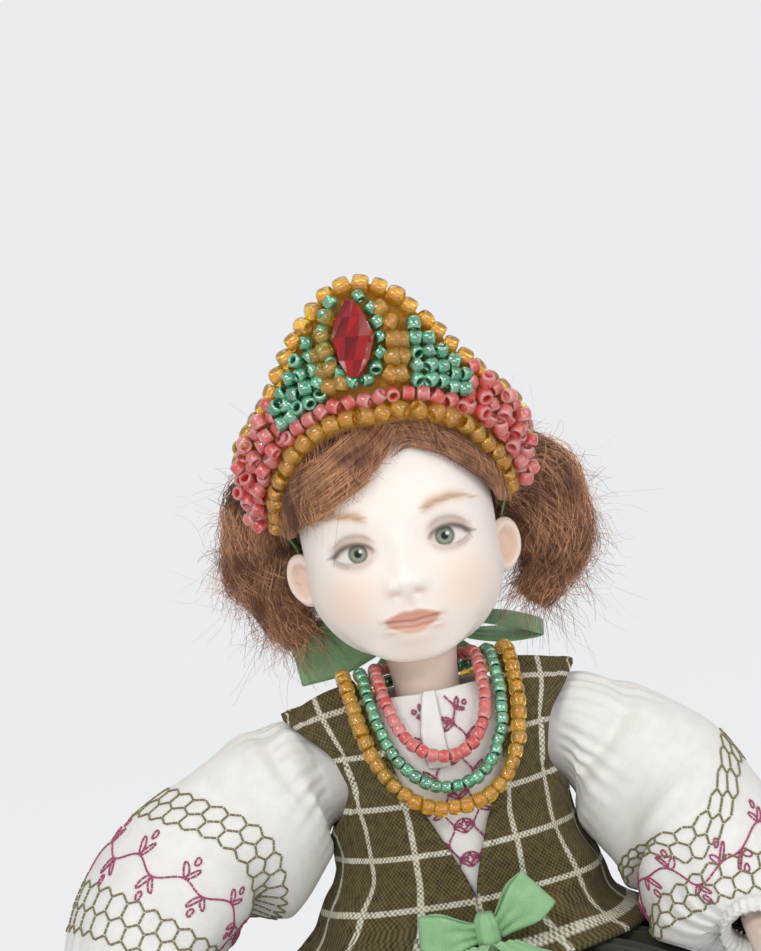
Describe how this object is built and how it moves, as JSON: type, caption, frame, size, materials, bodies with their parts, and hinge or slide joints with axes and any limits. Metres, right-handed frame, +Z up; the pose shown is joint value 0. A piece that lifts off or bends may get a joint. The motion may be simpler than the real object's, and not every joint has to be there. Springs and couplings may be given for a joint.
{
  "type": "pincushion doll",
  "caption": "Porcelain half doll in folk dress with a beaded headdress, set in a stuffed round skirt that takes pins; its strung head and arms move.",
  "frame": {"origin": "centre of the underside of the felt base, on the surface that the doll stands on", "axes": "+Z up, the doll faces -Y, and its right arm is at -X"},
  "size_m": [0.1182, 0.1134, 0.1639],
  "materials": {
    "porcelain": "unglazed bisque, matt with a faint bloom",
    "olive_check": "plain-weave olive cotton with a cream windowpane check",
    "white_batiste": "fine white cotton with olive and maroon embroidery",
    "dark_green_cotton": "gathered dark green cotton",
    "green_ribbon": "ribbed satin ribbon",
    "mohair": "auburn mohair",
    "amber_glass": "polished amber seed beads",
    "green_glass": "green seed beads with a rainbow lustre",
    "pink_glass": "coral pink seed beads with a lustre",
    "red_crystal": "faceted red crystal",
    "felt": "wool felt",
    "greyboard": "pressed board",
    "steel": "plain steel washer",
    "beech": "turned beech",
    "wadding": "packed wool wadding",
    "kid_leather": "thin kid leather",
    "elastic": "covered elastic cord"
  },
  "bodies": {
    "base": {"base_felt": "felt", "base_board": "greyboard", "ballast_disc": "steel", "waist_peg": "beech", "cushion_filling": "wadding", "skirt_cover": "dark_green_cotton", "half_body": "porcelain", "blouse_bodice": "white_batiste", "blouse_placket": "white_batiste", "vest_right_front": "olive_check", "vest_left_front": "olive_check", "vest_back": "olive_check", "vest_bow_knot": "green_ribbon", "vest_bow_right_loop": "green_ribbon", "vest_bow_left_loop": "green_ribbon", "vest_bow_right_tail": "green_ribbon", "vest_bow_left_tail": "green_ribbon", "necklace_pink": "pink_glass", "necklace_green": "green_glass", "necklace_amber": "amber_glass", "neck_elastic": "elastic", "arm_elastic": "elastic"},
    "neck_liner": {"neck_liner": "kid_leather"},
    "neck_bead": {"neck_bead": "beech"},
    "head": {"head": "porcelain", "wig_cap": "mohair", "hair_right_puff": "mohair", "hair_left_puff": "mohair", "crown_backing": "felt", "crown_base_amber": "amber_glass", "crown_row_pink": "pink_glass", "crown_edge_amber": "amber_glass", "crown_ring_green": "green_glass", "crown_right_amber": "amber_glass", "crown_left_amber": "amber_glass", "crown_right_green": "green_glass", "crown_left_green": "green_glass", "crown_right_pink": "pink_glass", "crown_left_pink": "pink_glass", "crown_crystal": "red_crystal", "crown_right_tie": "green_ribbon", "crown_left_tie": "green_ribbon", "nape_bow_knot": "green_ribbon", "nape_bow_right_loop": "green_ribbon", "nape_bow_left_loop": "green_ribbon", "nape_bow_right_tail": "green_ribbon", "nape_bow_left_tail": "green_ribbon"},
    "right_arm": {"right_arm": "porcelain", "right_sleeve": "white_batiste", "right_cuff": "white_batiste"},
    "left_arm": {"left_arm": "porcelain", "left_sleeve": "white_batiste", "left_cuff": "white_batiste"}
  },
  "joints": [
    {"name": "neck_turn", "type": "hinge", "parent": "base", "child": "neck_liner", "pos_m": [0, 0, 0.095], "axis": [0, 0, 1], "range_deg": [-40, 40]},
    {"name": "neck_tilt", "type": "hinge", "parent": "neck_liner", "child": "neck_bead", "pos_m": [0, 0, 0.095], "axis": [0.1219, 0.9925, 0], "range_deg": [-5, 5]},
    {"name": "neck_nod", "type": "hinge", "parent": "neck_bead", "child": "head", "pos_m": [0, 0, 0.095], "axis": [0.9925, -0.1219, 0], "range_deg": [-5, 5]},
    {"name": "right_shoulder", "type": "hinge", "parent": "base", "child": "right_arm", "pos_m": [-0.0186, 0.003, 0.087], "axis": [1, 0, 0], "range_deg": [-30, 20]},
    {"name": "left_shoulder", "type": "hinge", "parent": "base", "child": "left_arm", "pos_m": [0.0186, 0.003, 0.087], "axis": [1, 0, 0], "range_deg": [-40, 0]}
  ]
}
